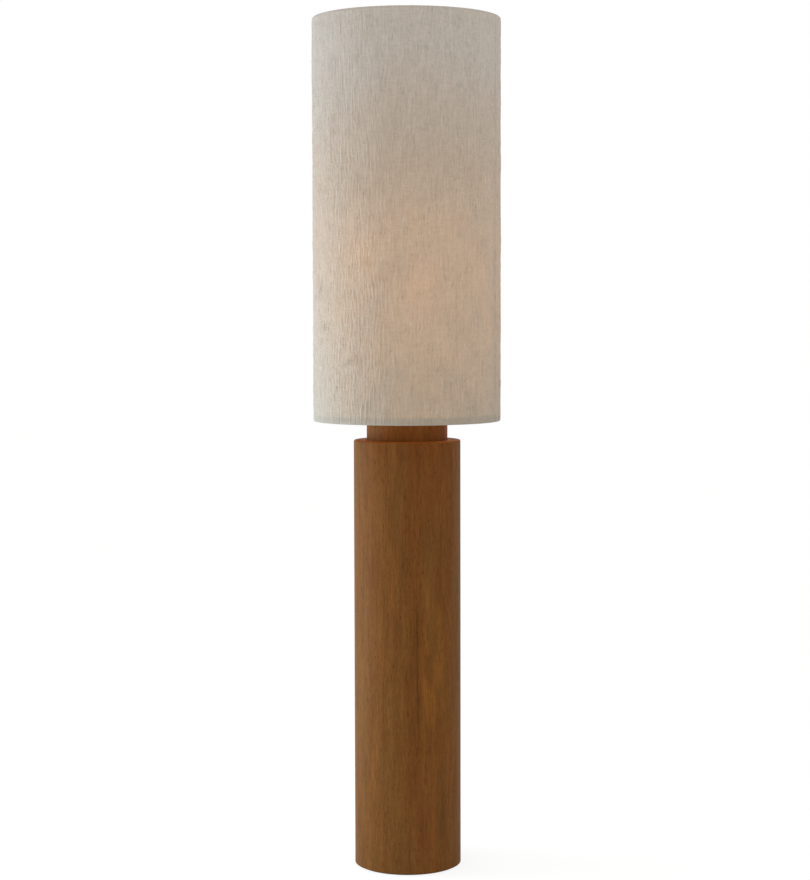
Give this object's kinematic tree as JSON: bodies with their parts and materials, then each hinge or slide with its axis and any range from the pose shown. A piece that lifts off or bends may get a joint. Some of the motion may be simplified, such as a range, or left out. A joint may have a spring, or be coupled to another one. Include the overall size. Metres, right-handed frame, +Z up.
{
  "type": "column floor lamp",
  "caption": "Floor lamp with a round wood-veneered column, a narrower turned neck and a tall straight drum shade over a two-light cluster with pull chains.",
  "frame": {"origin": "centre of the felt's underside, on the floor", "axes": "+Z up along the column, -Y towards the front (the side pictured), cord inlet at the back on +Y"},
  "size_m": [0.3529, 0.353, 1.6],
  "materials": {
    "walnut_veneer": "satin lacquer",
    "raw_board": "unfinished",
    "cast_iron": "rough cast",
    "felt": "matt",
    "black_nylon": "moulded",
    "white_nylon": "moulded",
    "zinc_steel": "zinc plated",
    "lead_sheath": "satin",
    "orange_plastic": "moulded",
    "aged_brass": "brushed and lacquered",
    "chain_brass": "polished",
    "liner_fibre": "pressed card",
    "phenolic": "moulded",
    "cap_aluminium": "drawn",
    "frosted_glass": "frosted inside",
    "shade_linen": "crinkled slub weave",
    "shade_styrene": "satin",
    "frame_steel": "nickel plated"
  },
  "bodies": {
    "stand": {"column_tube": "walnut_veneer", "column_top": "raw_board", "column_base": "raw_board", "ballast": "cast_iron", "ballast_screws": "zinc_steel", "base_felt": "felt", "cord_bushing": "black_nylon", "terminal_block": "white_nylon", "terminal_screws": "zinc_steel", "riser_lead": "lead_sheath", "lead_clips": "white_nylon", "neck": "walnut_veneer", "stem_pipe": "zinc_steel", "stem_washer": "zinc_steel", "stem_nut": "zinc_steel", "neck_plate": "aged_brass", "stem_sleeve": "aged_brass", "cluster_body": "aged_brass", "cluster_cover": "aged_brass", "cover_screws": "aged_brass", "cluster_nut": "zinc_steel", "wire_nuts": "orange_plastic", "splice_wires": "lead_sheath", "socket_arm_1": "aged_brass", "socket_arm_2": "aged_brass", "socket_lead_1": "lead_sheath", "socket_lead_2": "lead_sheath", "socket_cap_1": "aged_brass", "socket_cap_2": "aged_brass", "socket_shell_1": "aged_brass", "socket_shell_2": "aged_brass", "socket_liner_1": "liner_fibre", "socket_liner_2": "liner_fibre", "socket_core_1": "phenolic", "socket_core_2": "phenolic", "screw_shell_1": "cap_aluminium", "screw_shell_2": "cap_aluminium", "socket_contacts": "chain_brass", "chain_guide_1": "aged_brass", "chain_guide_2": "aged_brass", "upper_rod": "aged_brass", "seat_collar": "aged_brass"},
    "chain_1": {"pull_chain_1": "chain_brass", "pull_knob_1": "aged_brass"},
    "chain_2": {"pull_chain_2": "chain_brass", "pull_knob_2": "aged_brass"},
    "bulb_1": {"bulb_glass_1": "frosted_glass", "bulb_cap_1": "cap_aluminium"},
    "bulb_2": {"bulb_glass_2": "frosted_glass", "bulb_cap_2": "cap_aluminium"},
    "shade": {"shade_fabric": "shade_linen", "shade_liner": "shade_styrene", "top_ring": "frame_steel", "bottom_ring": "frame_steel", "top_hem": "shade_linen", "bottom_hem": "shade_linen", "spider_hub": "frame_steel", "spider_arms": "frame_steel"},
    "finial": {"finial": "aged_brass"}
  },
  "joints": [
    {"name": "chain_pull_1", "type": "slide", "parent": "stand", "child": "chain_1", "axis": [0, 0, -1], "range_m": [0, 0.012], "stiffness_N_per_m": 400},
    {"name": "chain_pull_2", "type": "slide", "parent": "stand", "child": "chain_2", "axis": [0, 0, -1], "range_m": [0, 0.012], "stiffness_N_per_m": 400},
    {"name": "bulb_turn_1", "type": "hinge", "parent": "stand", "child": "bulb_1", "pos_m": [0.04505, -0.03155, 1.102], "axis": [0, 0, 1], "range_deg": [0, 1530]},
    {"name": "bulb_turn_2", "type": "hinge", "parent": "stand", "child": "bulb_2", "pos_m": [-0.04505, 0.03155, 1.102], "axis": [0, 0, 1], "range_deg": [0, 1530]},
    {"name": "shade_turn", "type": "hinge", "parent": "stand", "child": "shade", "pos_m": [0, 0, 1.55], "axis": [0, 0, 1], "continuous": true},
    {"name": "finial_turn", "type": "hinge", "parent": "stand", "child": "finial", "pos_m": [0, 0, 1.56], "axis": [0, 0, 1], "range_deg": [0, 3600]}
  ]
}
